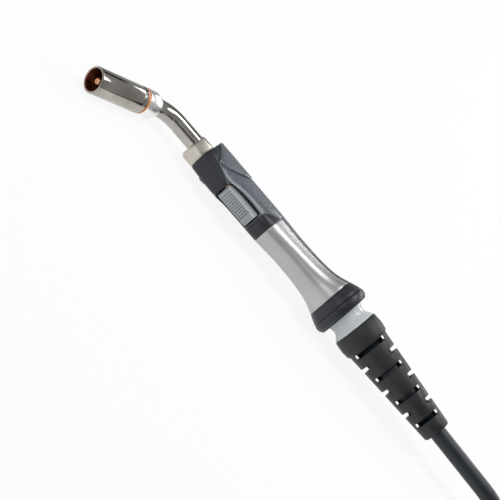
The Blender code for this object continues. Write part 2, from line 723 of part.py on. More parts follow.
trigger = plate("trigger", trigger_outline(), TRIGGER_HALF_WIDTH, torch, ((0.62, 0.63, 0.64), 0.0, 0.4))
hinge_at(trigger, (PIN_X, -PIN_DROP, 0.0))
for side, name in ((1, "trigger_slope_up"), (-1, "trigger_slope_down")):
    slope = block(
        name, (-far, -0.020, min(0.0, side * 0.020)), (far, 0.020, max(0.0, side * 0.020)), torch, None,
    )
    slope.location = (PIN_X, -TRIGGER_FACE, side * RIB_HALF_WIDTH)
    slope.rotation_euler = (side * SLOPE_ANGLE, 0.0, 0.0)
    combine(trigger, slope)
pin_hole = turned("pin_hole", [
    (-0.020, 0.0), (-0.020, PIN_RADIUS + GAP), (0.020, PIN_RADIUS + GAP), (0.020, 0.0),
], torch, None, steps=24)
pin_hole.rotation_euler = (0.0, 0.0, 0.0)
pin_hole.location = (PIN_X, -PIN_DROP, 0.0)
combine(trigger, pin_hole)
spring_slot = block(
    "spring_slot", (TRIGGER_FRONT - 0.001, -PIN_DROP - 0.0030, -0.0027),
    (PIN_X + 0.0032, -PIN_DROP + 0.010, 0.0027), torch, None,
)
combine(trigger, spring_slot)

trigger_pin = turned("trigger_pin", [
    (-PIN_HALF_LENGTH, 0.0), (-PIN_HALF_LENGTH, PIN_RADIUS), (PIN_HALF_LENGTH, PIN_RADIUS), (PIN_HALF_LENGTH, 0.0),
], torch, STEEL, steps=24)
trigger_pin.rotation_euler = (0.0, 0.0, 0.0)
trigger_pin.location = (PIN_X, -PIN_DROP, 0.0)

SPRING_RADIUS = 0.0018
SPRING_WIRE = 0.00035
SPRING_TURNS = 4
spring_route = []
for i in range(SPRING_TURNS * 12 + 1):
    turn = 2 * math.pi * i / 12
    spring_route.append((
        SPRING_RADIUS * math.cos(turn), SPRING_RADIUS * math.sin(turn),
        0.0044 * (i / (SPRING_TURNS * 12) - 0.5),
    ))
trigger_spring = tube("trigger_spring", spring_route, SPRING_WIRE, torch, STEEL, sides=1)
trigger_spring.location = (PIN_X, -PIN_DROP, 0.0)

SWITCH_BOTTOM = -0.0137
SWITCH_TOP = -NECK_DROP - FERRULE_RADIUS - GAP
PLUNGER_X = 0.0710
PLUNGER_RADIUS = 0.0009
plunger_travel = (PLUNGER_X - PIN_X) * TRIGGER_ANGLE
plunger_low = TRIGGER_TOP + GAP
plunger_high = SWITCH_TOP - 0.0006 - plunger_travel - GAP
microswitch = block(
    "microswitch", (0.0605, SWITCH_BOTTOM, -0.0050), (0.0785, SWITCH_TOP, 0.0050), torch,
    ((0.03, 0.03, 0.03), 0.0, 0.5), bevel=0.0003,
)
plunger_hole = turned("plunger_hole", [
    (SWITCH_BOTTOM - 0.004, 0.0), (SWITCH_BOTTOM - 0.004, PLUNGER_RADIUS + GAP),
    (SWITCH_TOP - 0.0006, PLUNGER_RADIUS + GAP), (SWITCH_TOP - 0.0006, 0.0),
], torch, None, steps=20)
plunger_hole.rotation_euler = (-math.radians(90), 0.0, 0.0)
plunger_hole.location = (PLUNGER_X, 0.0, 0.0)
combine(microswitch, plunger_hole)
plunger = turned("switch_plunger", [
    (plunger_low, 0.0), (plunger_low, PLUNGER_RADIUS - 0.0003), (plunger_low + 0.0003, PLUNGER_RADIUS),
    (plunger_high, PLUNGER_RADIUS), (plunger_high, 0.0),
], torch, ORANGE, steps=20)
plunger.rotation_euler = (-math.radians(90), 0.0, 0.0)
plunger.location = (PLUNGER_X, 0.0, 0.0)

# ---------------------------------------------------------------- housing screws, on the far side
SCREW_HEAD = 0.0026
for number, (x, y) in enumerate(((0.064, 0.0095), (0.150, 0.0098))):
    outer = -section_at(x)[2] + 0.0014
    inner = outer + 0.0030 + GAP
    for name, grow, finish in ((f"housing_screw_{number}", 0.0, STEEL), (f"screw_seat_{number}", GAP, None)):
        reach = 0.0 if finish else 0.020
        screw = turned(name, [
            (outer - reach, 0.0), (outer - reach, SCREW_HEAD + grow), (outer + 0.0014 + grow, SCREW_HEAD + grow),
            (outer + 0.0014 + grow, 0.0012 + grow), (inner + grow, 0.0012 + grow), (inner + grow, 0.0),
        ], torch, finish, steps=24)
        screw.rotation_euler = (0.0, 0.0, 0.0)
        screw.location = (x, y, 0.0)
        if finish is None:
            combine(housing, screw)

# ---------------------------------------------------------------- cable, from the ball joint to the coil
torch_to_world = Matrix.LocRotScale(Vector((0.0, 0.0, TORCH_HEIGHT)), Euler((0.0, -TILT, 0.0)), None)
boot_to_torch = Matrix.LocRotScale(Vector((BALL_X, 0.0, 0.0)), Euler((0.0, BALL_DROOP, 0.0)), None)
boot_to_world = torch_to_world @ boot_to_torch
STRAP_THICKNESS = 0.0012
coil_base = STRAP_THICKNESS + GAP
outer_turn = COIL_INNER_TURN + (COIL_ACROSS - 1) * CABLE_PITCH
coil_outer = outer_turn + CABLE_PITCH / 2
coil_inner = COIL_INNER_TURN - CABLE_PITCH / 2
coil_top = coil_base + COIL_HIGH * CABLE_PITCH
entry_y = COIL_Y + outer_turn
reach_in = math.sqrt(coil_outer**2 - (outer_turn - CABLE_RADIUS) ** 2)
coil_edge_x = COIL_X - reach_in - GAP
cable_floor = CABLE_RADIUS + 0.0006

cable_start = boot_to_world @ Vector((-0.0140, 0.0, 0.0))
cable_leaves = boot_to_world @ Vector((boot_rear + CABLE_STRAIGHT, 0.0, 0.0))
route = [tuple(cable_start)]
for i in range(1, 6):
    route.append(tuple(cable_start.lerp(cable_leaves, i / 5)))
slope = (cable_leaves.z - cable_start.z) / (cable_leaves.x - cable_start.x)
fall = coil_edge_x - cable_leaves.x
for i in range(1, 19):
    t = i / 18
    ease = 3 * t**2 - 2 * t**3
    z = cable_leaves.z * (1 - ease) + cable_floor * ease + slope * fall * t * (1 - t) ** 2
    route.append((cable_leaves.x + fall * t, entry_y * ease, z))
tube("cable", route, CABLE_RADIUS, None, JACKET)



def long_loop(radius):
    """Outline of two half circles joined by straight runs; the first bend's middle is the origin."""
    bend = [math.radians(-90 + 180 * i / 24) for i in range(25)]
    far_end = [(COIL_RUN + radius * math.cos(a), radius * math.sin(a)) for a in bend]
    near_end = [(-radius * math.cos(a), -radius * math.sin(a)) for a in bend]
    return far_end + near_end


coil_half = (coil_top - coil_base) / 2
cable_coil = plate("cable_coil", long_loop(coil_outer), coil_half, None, JACKET, bevel=0.004)
cable_coil.location = (COIL_X, COIL_Y, coil_base + coil_half)
coil_hole = plate("coil_hole", long_loop(coil_inner), coil_half + 0.01, None, None)
coil_hole.location = cable_coil.location
combine(cable_coil, coil_hole)

STRAP_WIDTH = 0.006
STRAP_SLACK = 0.0008
for number, (strap_x, angle) in enumerate(((COIL_X + COIL_RUN / 2, 90), (COIL_X + COIL_RUN, -90))):
    strap_frame = frame_at(f"strap_frame_{number}", (strap_x, COIL_Y, 0.0), (0.0, 0.0, math.radians(angle)))
    strap = block(
        f"coil_strap_{number}",
        (coil_inner - STRAP_SLACK - STRAP_THICKNESS, -STRAP_WIDTH, 0.0),
        (coil_outer + STRAP_SLACK + STRAP_THICKNESS, STRAP_WIDTH, coil_top + GAP + STRAP_THICKNESS),
        strap_frame, ((0.05, 0.05, 0.055), 0.0, 0.7),
    )
    hollow = block(
        f"strap_hollow_{number}",
        (coil_inner - STRAP_SLACK, -0.02, STRAP_THICKNESS),
        (coil_outer + STRAP_SLACK, 0.02, coil_top + GAP), strap_frame, None,
    )
    combine(strap, hollow)

# ---------------------------------------------------------------- tail and central connector
SLEEVE_GRIP = 0.0125
tail_z = coil_top + GAP + CABLE_RADIUS
connector_x = COIL_X + TAIL_RISE
connector_z = coil_top + GAP + NUT_RADIUS
tail_route = [(COIL_X + COIL_RUN * 0.36 * (1 - i / 4), COIL_Y - outer_turn, tail_z) for i in range(4)]
for i in range(19):
    angle = math.radians(-90 - 180 * i / 18)
    tail_route.append((COIL_X + outer_turn * math.cos(angle), COIL_Y + outer_turn * math.sin(angle), tail_z))
for i in range(1, 9):
    t = i / 8
    ease = 3 * t**2 - 2 * t**3
    tail_route.append((COIL_X + TAIL_RISE * t, entry_y, tail_z + (connector_z - tail_z) * ease))
tail_route.append((connector_x + SLEEVE_GRIP, entry_y, connector_z))
tube("cable_tail", tail_route, CABLE_RADIUS, None, JACKET)
plug = frame_at("connector_frame", (connector_x, entry_y, connector_z), (0.0, 0.0, 0.0))
sleeve_end = 0.045
turned("connector_sleeve", [
    (SLEEVE_GRIP + GAP, 0.0), (SLEEVE_GRIP + GAP, CABLE_RADIUS + GAP), (0.0, CABLE_RADIUS + GAP),
    (0.0, 0.0105), (sleeve_end, 0.0130), (sleeve_end, 0.0),
], plug, RUBBER, steps=40)
housing_front = sleeve_end + GAP
nut_rear = 0.088
housing_neck = 0.0172
housing_end = 0.108
turned("connector_housing", [
    (housing_front, 0.0), (housing_front, 0.0138), (housing_front + 0.006, 0.0150),
    (housing_front + 0.022, 0.0160), (nut_rear - 0.006, 0.0195), (nut_rear - GAP, 0.0195),
    (nut_rear - GAP, housing_neck), (housing_end, housing_neck), (housing_end, 0.0),
], plug, CHARCOAL, steps=48)
nut_front = 0.114
connector_nut = turned("connector_nut", [
    (nut_rear, NUT_RADIUS - 0.0012), (nut_rear + 0.0012, NUT_RADIUS), (nut_front - 0.0012, NUT_RADIUS),
    (nut_front, NUT_RADIUS - 0.0012), (nut_front, housing_neck + GAP), (nut_rear, housing_neck + GAP),
], plug, CHARCOAL, steps=48)
NUT_FLUTES = 12
for number in range(NUT_FLUTES):
    flute = turned(f"nut_flute_{number}", [
        (nut_rear + 0.004, 0.0), (nut_rear + 0.004, 0.0016), (nut_front + 0.01, 0.0016), (nut_front + 0.01, 0.0),
    ], plug, None, steps=12)
    angle = 2 * math.pi * (number + 0.5) / NUT_FLUTES
    flute.location = (0.0, (NUT_RADIUS + 0.0004) * math.cos(angle), (NUT_RADIUS + 0.0004) * math.sin(angle))
    combine(connector_nut, flute)

PLUG_RADIUS = 0.0140
CONTROL_PIN_RADIUS = 0.0020
CONTROL_PIN_TRAVEL = 0.0030
plug_front = housing_end + GAP
plug_face = plug_front + 0.016
connector_plug = turned("connector_plug", [
    (plug_front, 0.0), (plug_front, PLUG_RADIUS), (plug_face - 0.0008, PLUG_RADIUS),
    (plug_face, PLUG_RADIUS - 0.0008), (plug_face, 0.0),
], plug, BRASS, steps=48)
for number, z in enumerate((-0.0042, 0.0042)):
    place = (0.0, 0.0098, z)
    pin_out = plug_face + 0.0045
    pin_in = plug_front + 0.0020 + CONTROL_PIN_TRAVEL
    hole = turned(f"control_pin_hole_{number}", [
        (plug_front + 0.0015, 0.0), (plug_front + 0.0015, CONTROL_PIN_RADIUS + GAP),
        (plug_face + 0.01, CONTROL_PIN_RADIUS + GAP), (plug_face + 0.01, 0.0),
    ], plug, None, steps=20)
    hole.location = place
    combine(connector_plug, hole)
    pin = turned(f"control_pin_{number}", [
        (pin_in, 0.0), (pin_in, CONTROL_PIN_RADIUS), (pin_out - 0.0008, CONTROL_PIN_RADIUS),
        (pin_out, CONTROL_PIN_RADIUS - 0.0008), (pin_out, 0.0),
    ], plug, BRASS, steps=20)
    pin.location = place
nipple_end = plug_face + GAP + 0.026
turned("gas_nipple", [
    (plug_face + GAP, 0.0), (plug_face + GAP, 0.0050), (nipple_end - 0.010, 0.0050),
    (nipple_end - 0.009, 0.0044), (nipple_end - 0.007, 0.0044), (nipple_end - 0.006, 0.0050),
    (nipple_end - 0.001, 0.0050), (nipple_end, 0.0042), (nipple_end, 0.0),
], plug, BRASS, steps=32)
turned("liner_nut", [
    (nipple_end + GAP, 0.0012), (nipple_end + GAP, 0.0038), (nipple_end + 0.006, 0.0038),
    (nipple_end + 0.007, 0.0028), (nipple_end + 0.007, 0.0012),
], plug, STEEL, steps=24)

for piece in torch_parts.objects:
    if piece.type == "MESH" and piece.modifiers and piece.modifiers[0].type == "SCREW":
        smooth(piece)

# ---------------------------------------------------------------- origin: middle of the torch, on the floor
bpy.context.view_layer.update()
graph = bpy.context.evaluated_depsgraph_get()
corners = []
for name in ("gas_nozzle", "end_cap", "cable_boot"):
    ready = bpy.data.objects[name].evaluated_get(graph)
    corners += [ready.matrix_world @ vertex.co for vertex in ready.data.vertices]
middle_x = (min(c.x for c in corners) + max(c.x for c in corners)) / 2
middle_y = (min(c.y for c in corners) + max(c.y for c in corners)) / 2
lowest = min(c.z for c in corners)
for thing in list(torch_parts.objects) + list(cutters.objects):
    if thing.parent is None:
        thing.location.x -= middle_x
        thing.location.y -= middle_y
torch.location.z -= lowest
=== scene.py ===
import math
import bmesh
import bpy
from mathutils import Matrix, Vector


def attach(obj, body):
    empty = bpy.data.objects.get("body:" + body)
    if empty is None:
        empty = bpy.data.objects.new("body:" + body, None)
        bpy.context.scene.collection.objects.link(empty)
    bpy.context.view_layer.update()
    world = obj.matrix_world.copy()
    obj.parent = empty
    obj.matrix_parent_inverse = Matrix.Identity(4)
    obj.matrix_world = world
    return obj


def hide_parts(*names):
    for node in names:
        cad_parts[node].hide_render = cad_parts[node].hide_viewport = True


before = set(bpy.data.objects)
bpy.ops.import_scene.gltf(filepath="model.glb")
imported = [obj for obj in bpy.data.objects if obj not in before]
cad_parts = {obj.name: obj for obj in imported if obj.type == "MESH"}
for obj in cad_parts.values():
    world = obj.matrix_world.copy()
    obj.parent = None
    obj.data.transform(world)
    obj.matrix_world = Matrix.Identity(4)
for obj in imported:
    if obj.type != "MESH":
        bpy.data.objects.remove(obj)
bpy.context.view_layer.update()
bpy.ops.object.select_all(action="DESELECT")

# ---------------------------------------------------------------- camera
# A long lens, 25 degrees above the floor and rolled, so that the handle runs down to the right.
torch_front = Vector((-0.10836, 0.03209, 0.01926))
torch_rearward = Vector((0.99878, 0.0, 0.04933))
elevation = math.radians(25)
roll = math.radians(51.9)
camera_distance = 2.5
sensor_width = 36.0
picture_width = 0.4762    # metres seen across, at the torch
look = Vector((0.0, math.cos(elevation), -math.sin(elevation)))
level_right = Vector((1.0, 0.0, 0.0))
level_up = level_right.cross(look)
right = level_right * math.cos(roll) + level_up * math.sin(roll)
up = level_up * math.cos(roll) - level_right * math.sin(roll)
aim = torch_front + torch_rearward * 0.0971 - level_up * 0.0280
bpy.ops.object.camera_add(location=aim - look * camera_distance)
camera = bpy.context.active_object
camera.rotation_euler = Matrix((right, up, -look)).transposed().to_euler()
camera.data.sensor_width = sensor_width
camera.data.lens = sensor_width * camera_distance / picture_width
camera.data.clip_end = 50.0
bpy.context.scene.camera = camera

# ---------------------------------------------------------------- cable
# 3 m of 16.5 mm power cable in a blue-black rubbery jacket: it leaves the boot, sinks to the
# floor and is wound into a tied long loop in line with the torch, with the connector on top.
CABLE_DIAMETER = 0.0165
floor_height = 0.00885                          # of the cable's middle, where it lies down
ball = Vector((0.0869, 0.03209, 0.0289))
boot_line = Vector((0.99997, 0.0, 0.00746))
boot_length_from_ball = 0.1482
coil_near = Vector((0.44204, -0.01591, 0.0))    # middle of the first bend
coil_run = 0.155
coil_edge_x = 0.3945
inner_turn = 0.0495
outer_turn = 0.0665
low_layer = 0.0100
high_layer = 0.0270
on_top = 0.04405
connector_height = 0.0583
tail_rise = 0.078

cable_exit = ball + boot_line * boot_length_from_ball
cable_first = ball + boot_line * (boot_length_from_ball - 0.018)
cable_leaves = cable_exit + boot_line * 0.070
entry_y = coil_near.y + outer_turn


def ease(t):
    t = min(max(t, 0.0), 1.0)
    return 3 * t**2 - 2 * t**3


cable_route = [cable_first.lerp(cable_leaves, i / 4) for i in range(5)]
fall = coil_edge_x - cable_leaves.x
for i in range(1, 15):
    t = i / 14
    z = cable_leaves.z * (1 - ease(t)) + floor_height * ease(t) + 0.00746 * fall * t * (1 - t) ** 2
    y = cable_leaves.y + (entry_y - cable_leaves.y) * ease(t)
    cable_route.append(Vector((cable_leaves.x + fall * t, y, z)))
for i in range(1, 4):
    t = i / 4
    cable_route.append(Vector((
        coil_edge_x + (coil_near.x - coil_edge_x) * t, entry_y,
        floor_height + (low_layer - floor_height) * ease(t),
    )))

# Each turn runs out along one side, round the far bend, and back; on its way back it moves
# over to the next lane, and the turn ahead of it has always moved first.
lanes = [
    (outer_turn, low_layer), (inner_turn, low_layer), (inner_turn, high_layer),
    (outer_turn, high_layer), (outer_turn, on_top),
]
lane_changes = [(0.60, 0.40), (0.40, 0.35), (0.15, 0.35), (0.00, 0.30)]
for (radius, height), (next_radius, next_height), (starts, lasts) in zip(lanes, lanes[1:], lane_changes):
    for i in range(8):
        cable_route.append(coil_near + Vector((coil_run * i / 8, radius, height)))
    for i in range(16):
        angle = math.radians(90 - 180 * i / 16)
        cable_route.append(coil_near + Vector((
            coil_run + radius * math.cos(angle), radius * math.sin(angle), height,
        )))
    way_back = coil_run + math.pi * radius
    for i in range(10):
        moved = ease((coil_run * i / 10 / way_back - starts) / lasts)
        here = radius + (next_radius - radius) * moved
        cable_route.append(coil_near + Vector((
            coil_run * (1 - i / 10), -here, height + (next_height - height) * moved,
        )))
    for i in range(16):
        moved = ease(((coil_run + math.pi * radius * i / 16) / way_back - starts) / lasts)
        here = radius + (next_radius - radius) * moved
        angle = math.radians(-90 - 180 * i / 16)
        cable_route.append(coil_near + Vector((
            here * math.cos(angle), here * math.sin(angle), height + (next_height - height) * moved,
        )))
for i in range(9):
    t = i / 8
    cable_route.append(coil_near + Vector((
        tail_rise * t, outer_turn, on_top + (connector_height - on_top) * ease(t),
    )))
cable_route.append(coil_near + Vector((tail_rise + 0.0115, outer_turn, connector_height)))


def jacket(name):
    """Blue-black jacket: a satin skin with rubbed patches, fine grain and a little dust."""
    made = bpy.data.materials.new(name)
    made.use_nodes = True
    nodes, links = made.node_tree.nodes, made.node_tree.links
    shader = nodes["Principled BSDF"]
    place = nodes.new("ShaderNodeTexCoord")
    patches = nodes.new("ShaderNodeTexNoise")
    patches.inputs["Scale"].default_value = 26.0
    patches.inputs["Detail"].default_value = 5.0
    tones = nodes.new("ShaderNodeValToRGB")
    tones.color_ramp.elements[0].position = 0.35
    tones.color_ramp.elements[0].color = (0.007, 0.011, 0.017, 1)
    tones.color_ramp.elements[1].position = 0.75
    tones.color_ramp.elements[1].color = (0.016, 0.022, 0.032, 1)
    sheen = nodes.new("ShaderNodeMapRange")
    sheen.inputs["To Min"].default_value = 0.34
    sheen.inputs["To Max"].default_value = 0.56
    grain = nodes.new("ShaderNodeTexNoise")
    grain.inputs["Scale"].default_value = 1500.0
    grain.inputs["Detail"].default_value = 3.0
    bump = nodes.new("ShaderNodeBump")
    bump.inputs["Strength"].default_value = 0.25
    bump.inputs["Distance"].default_value = 0.0002
    links.new(place.outputs["Object"], patches.inputs["Vector"])
    links.new(place.outputs["Object"], grain.inputs["Vector"])
    links.new(patches.outputs["Fac"], tones.inputs["Fac"])
    links.new(tones.outputs["Color"], shader.inputs["Base Color"])
    links.new(patches.outputs["Fac"], sheen.inputs["Value"])
    links.new(sheen.outputs["Result"], shader.inputs["Roughness"])
    links.new(grain.outputs["Fac"], bump.inputs["Height"])
    links.new(bump.outputs["Normal"], shader.inputs["Normal"])
    return made


cable_jacket = jacket("cable_jacket")


def corded(name, points):
    curve = bpy.data.curves.new(name, "CURVE")
    curve.dimensions = "3D"
    curve.bevel_depth = CABLE_DIAMETER / 2
    curve.bevel_resolution = 6
    curve.use_fill_caps = True
    spline = curve.splines.new("POLY")
    spline.points.add(len(points) - 1)
    for point, co in zip(spline.points, points):
        point.co = (*co, 1.0)
    spline.use_smooth = True
    piece = bpy.data.objects.new(name, curve)
    bpy.context.scene.collection.objects.link(piece)
    curve.materials.append(cable_jacket)
    return piece


power_cable = corded("power_cable", cable_route)
cable_in_boot = corded("cable_in_boot", [
    ball + boot_line * (-0.014 + (boot_length_from_ball - 0.0045) * i / 8) for i in range(9)
])
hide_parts("cable", "cable_coil", "cable_tail")
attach(power_cable, "cable_set")
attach(cable_in_boot, "cable_set")

# ---------------------------------------------------------------- pieces carried from the frame
# Each solid piece keeps its shape: a merged copy gets soft edges and smooth curves.
def dressed(node, body, finish, edge=0.0003):
    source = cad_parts[node]
    piece = source.copy()
    piece.data = source.data.copy()
    piece.name = node + "_finished"
    piece.parent = None
    piece.matrix_world = source.matrix_world.copy()
    bpy.context.scene.collection.objects.link(piece)
    bpy.ops.object.select_all(action="DESELECT")
    piece.select_set(True)
    bpy.context.view_layer.objects.active = piece
    bpy.ops.object.mode_set(mode="EDIT")
    bpy.ops.mesh.select_all(action="SELECT")
    bpy.ops.mesh.remove_doubles(threshold=0.000002)
    bpy.ops.mesh.dissolve_limited(angle_limit=math.radians(0.6))
    bpy.ops.object.mode_set(mode="OBJECT")
    if edge:
        soft = piece.modifiers.new("soft_edges", "BEVEL")
        soft.width = edge
        soft.segments = 2
        soft.limit_method = "ANGLE"
        soft.angle_limit = math.radians(38)
        soft.harden_normals = False
        bpy.ops.object.modifier_apply(modifier=soft.name)
    bpy.ops.object.shade_smooth_by_angle(angle=math.radians(34))
    piece.data.materials.clear()
    piece.data.materials.append(finish)
    piece.select_set(False)
    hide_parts(node)
    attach(piece, body)
    return piece


# ---------------------------------------------------------------- moulded plastics and rubber
# Handle shells, trigger, ball, boot and connector are mouldings: fine erosion grain, slight
# colour drift, and a shine that changes where hands have rubbed them.
def moulded(name, dark, light, rough_low, rough_high, grain_scale, grain_depth, patch_scale=30.0,
            metallic=0.0, coat=0.0, scuffs=0.0):
    made = bpy.data.materials.new(name)
    made.use_nodes = True
    nodes, links = made.node_tree.nodes, made.node_tree.links
    shader = nodes["Principled BSDF"]
    shader.inputs["Metallic"].default_value = metallic
    shader.inputs["Coat Weight"].default_value = coat
    shader.inputs["Coat Roughness"].default_value = 0.12
    place = nodes.new("ShaderNodeTexCoord")
    patches = nodes.new("ShaderNodeTexNoise")
    patches.inputs["Scale"].default_value = patch_scale
    patches.inputs["Detail"].default_value = 6.0
    patches.inputs["Roughness"].default_value = 0.6
    tones = nodes.new("ShaderNodeValToRGB")
    tones.color_ramp.elements[0].position = 0.3
    tones.color_ramp.elements[0].color = (*dark, 1)
    tones.color_ramp.elements[1].position = 0.75
    tones.color_ramp.elements[1].color = (*light, 1)
    shine = nodes.new("ShaderNodeMapRange")
    shine.inputs["From Min"].default_value = 0.3
    shine.inputs["From Max"].default_value = 0.7
    shine.inputs["To Min"].default_value = rough_low
    shine.inputs["To Max"].default_value = rough_high
    grain = nodes.new("ShaderNodeTexNoise")
    grain.inputs["Scale"].default_value = grain_scale
    grain.inputs["Detail"].default_value = 0.5
    bump = nodes.new("ShaderNodeBump")
    bump.inputs["Strength"].default_value = 0.5
    bump.inputs["Distance"].default_value = grain_depth
    links.new(place.outputs["Object"], patches.inputs["Vector"])
    links.new(place.outputs["Object"], grain.inputs["Vector"])
    links.new(patches.outputs["Fac"], tones.inputs["Fac"])
    links.new(patches.outputs["Fac"], shine.inputs["Value"])
    links.new(shine.outputs["Result"], shader.inputs["Roughness"])
    links.new(grain.outputs["Fac"], bump.inputs["Height"])
    links.new(bump.outputs["Normal"], shader.inputs["Normal"])
    if scuffs:
        hairs = nodes.new("ShaderNodeTexVoronoi")
        hairs.feature = "DISTANCE_TO_EDGE"
        hairs.inputs["Scale"].default_value = 130.0
        stretch = nodes.new("ShaderNodeMapping")
        stretch.inputs["Scale"].default_value = (0.25, 1.0, 1.6)
        cut = nodes.new("ShaderNodeMapRange")
        cut.inputs["From Min"].default_value = 0.0
        cut.inputs["From Max"].default_value = 0.02
        cut.inputs["To Min"].default_value = scuffs
        cut.inputs["To Max"].default_value = 0.0
        worn = nodes.new("ShaderNodeMix")
        worn.data_type = "RGBA"
        worn.inputs["B"].default_value = (*[min(1.0, v * 1.6 + 0.02) for v in light], 1)
        links.new(place.outputs["Object"], stretch.inputs["Vector"])
        links.new(stretch.outputs["Vector"], hairs.inputs["Vector"])
        links.new(hairs.outputs["Distance"], cut.inputs["Value"])
        links.new(cut.outputs["Result"], worn.inputs["Factor"])
        links.new(tones.outputs["Color"], worn.inputs["A"])
        links.new(worn.outputs["Result"], shader.inputs["Base Color"])
    else:
        links.new(tones.outputs["Color"], shader.inputs["Base Color"])
    return made


LACQUER_METALLIC = 0.75
charcoal = moulded(
    "charcoal_matt", (0.010, 0.013, 0.018), (0.020, 0.024, 0.031), 0.34, 0.50, 1700, 0.00012, scuffs=0.10,
)
blue_grey = moulded(
    "blue_grey_gloss", (0.080, 0.094, 0.116), (0.108, 0.124, 0.150), 0.28, 0.40, 900, 0.000012,
    coat=0.3, scuffs=0.06,
)
silver = moulded(
    "silver_satin", (0.47, 0.475, 0.475), (0.54, 0.545, 0.545), 0.34, 0.42, 2600, 0.000008,
    metallic=LACQUER_METALLIC, scuffs=0.05,
)

# The grip's lacquer stops short of the spine: along its edge a thin near-white line is a painted highlight,
# and past it the dark base shows.
nodes, links = silver.node_tree.nodes, silver.node_tree.links
lacquered = nodes["Principled BSDF"].inputs["Base Color"].links[0].from_socket
place = nodes.new("ShaderNodeTexCoord")
height = nodes.new("ShaderNodeSeparateXYZ")
painted_highlight_and_spine_tones = nodes.new("ShaderNodeValToRGB")
# The near-white first stop is a painted highlight along the grip's edge; the dark second stop is the
# spine's own colour.
painted_highlight_and_spine_tones.color_ramp.elements[0].position = 0.40
painted_highlight_and_spine_tones.color_ramp.elements[0].color = (0.92, 0.93, 0.94, 1)
painted_highlight_and_spine_tones.color_ramp.elements[1].position = 0.48
painted_highlight_and_spine_tones.color_ramp.elements[1].color = (0.060, 0.072, 0.090, 1)
across = nodes.new("ShaderNodeMapRange")
across.inputs["From Min"].default_value = 0.0312
across.inputs["From Max"].default_value = 0.0332
past_edge = nodes.new("ShaderNodeMapRange")
past_edge.inputs["From Min"].default_value = 0.0316
past_edge.inputs["From Max"].default_value = 0.0318
lacquer_mix = nodes.new("ShaderNodeMix")
lacquer_mix.data_type = "RGBA"
shiny = nodes.new("ShaderNodeMath")
shiny.operation = "SUBTRACT"
shiny.inputs[0].default_value = LACQUER_METALLIC
metal_share = nodes.new("ShaderNodeMath")
metal_share.operation = "MULTIPLY"
metal_share.inputs[1].default_value = LACQUER_METALLIC
links.new(place.outputs["Object"], height.inputs["Vector"])
links.new(height.outputs["Y"], across.inputs["Value"])
links.new(height.outputs["Y"], past_edge.inputs["Value"])
links.new(across.outputs["Result"], painted_highlight_and_spine_tones.inputs["Fac"])
links.new(past_edge.outputs["Result"], lacquer_mix.inputs["Factor"])
links.new(lacquered, lacquer_mix.inputs["A"])
links.new(painted_highlight_and_spine_tones.outputs["Color"], lacquer_mix.inputs["B"])
links.new(past_edge.outputs["Result"], metal_share.inputs[0])
links.new(metal_share.outputs["Value"], shiny.inputs[1])
links.new(shiny.outputs["Value"], nodes["Principled BSDF"].inputs["Metallic"])
links.new(lacquer_mix.outputs["Result"], nodes["Principled BSDF"].inputs["Base Color"])

trigger_grey = moulded(
    "trigger_light_grey", (0.34, 0.36, 0.38), (0.46, 0.48, 0.50), 0.30, 0.44, 1800, 0.00007,
)
recess_black = moulded(
    "switch_black", (0.012, 0.012, 0.013), (0.024, 0.024, 0.026), 0.40, 0.55, 1500, 0.00008,
)
pale = moulded("pale_acetal", (0.60, 0.64, 0.66), (0.72, 0.75, 0.76), 0.22, 0.34, 1200, 0.00004, coat=0.15)
pale.node_tree.nodes["Principled BSDF"].inputs["Subsurface Weight"].default_value = 0.15
pale.node_tree.nodes["Principled BSDF"].inputs["Subsurface Radius"].default_value = (0.004, 0.004, 0.004)
boot_rubber = moulded(
    "boot_rubber", (0.008, 0.010, 0.011), (0.018, 0.020, 0.021), 0.40, 0.58, 1300, 0.00014, scuffs=0.12,
)
orange = moulded("orange_insulator", (0.80, 0.20, 0.03), (0.95, 0.30, 0.06), 0.4, 0.55, 2000, 0.00008)
strap_web = moulded("strap_web", (0.03, 0.03, 0.033), (0.06, 0.06, 0.065), 0.6, 0.8, 2400, 0.0002)


# ---------------------------------------------------------------- plated and turned metals
# Nickel plate, satin nickel, copper, brass and zinc steel, with fine surface marks
# and slight tarnish patches that change colour and shine.
def metal(name, bright, dull, rough_low, rough_high, mark_scale, mark_depth, patch_scale=40.0):
    made = bpy.data.materials.new(name)
    made.use_nodes = True
    nodes, links = made.node_tree.nodes, made.node_tree.links
    shader = nodes["Principled BSDF"]
    shader.inputs["Metallic"].default_value = 1.0
    place = nodes.new("ShaderNodeTexCoord")
    patches = nodes.new("ShaderNodeTexNoise")
    patches.inputs["Scale"].default_value = patch_scale
    patches.inputs["Detail"].default_value = 7.0
    patches.inputs["Roughness"].default_value = 0.65
    tones = nodes.new("ShaderNodeValToRGB")
    tones.name = "tones"
    tones.color_ramp.elements[0].position = 0.30
    tones.color_ramp.elements[0].color = (*dull, 1)
    tones.color_ramp.elements[1].position = 0.62
    tones.color_ramp.elements[1].color = (*bright, 1)
    shine = nodes.new("ShaderNodeMapRange")
    shine.name = "shine"
    shine.inputs["From Min"].default_value = 0.35
    shine.inputs["From Max"].default_value = 0.65
    shine.inputs["To Min"].default_value = rough_high
    shine.inputs["To Max"].default_value = rough_low
    marks = nodes.new("ShaderNodeTexNoise")
    marks.inputs["Scale"].default_value = mark_scale
    marks.inputs["Detail"].default_value = 3.0
    bump = nodes.new("ShaderNodeBump")
    bump.inputs["Strength"].default_value = 0.35
    bump.inputs["Distance"].default_value = mark_depth
    links.new(place.outputs["Object"], patches.inputs["Vector"])
    links.new(place.outputs["Object"], marks.inputs["Vector"])
    links.new(patches.outputs["Fac"], tones.inputs["Fac"])
    links.new(patches.outputs["Fac"], shine.inputs["Value"])
    links.new(shine.outputs["Result"], shader.inputs["Roughness"])
    links.new(tones.outputs["Color"], shader.inputs["Base Color"])
    links.new(marks.outputs["Fac"], bump.inputs["Height"])
    links.new(bump.outputs["Normal"], shader.inputs["Normal"])
    return made
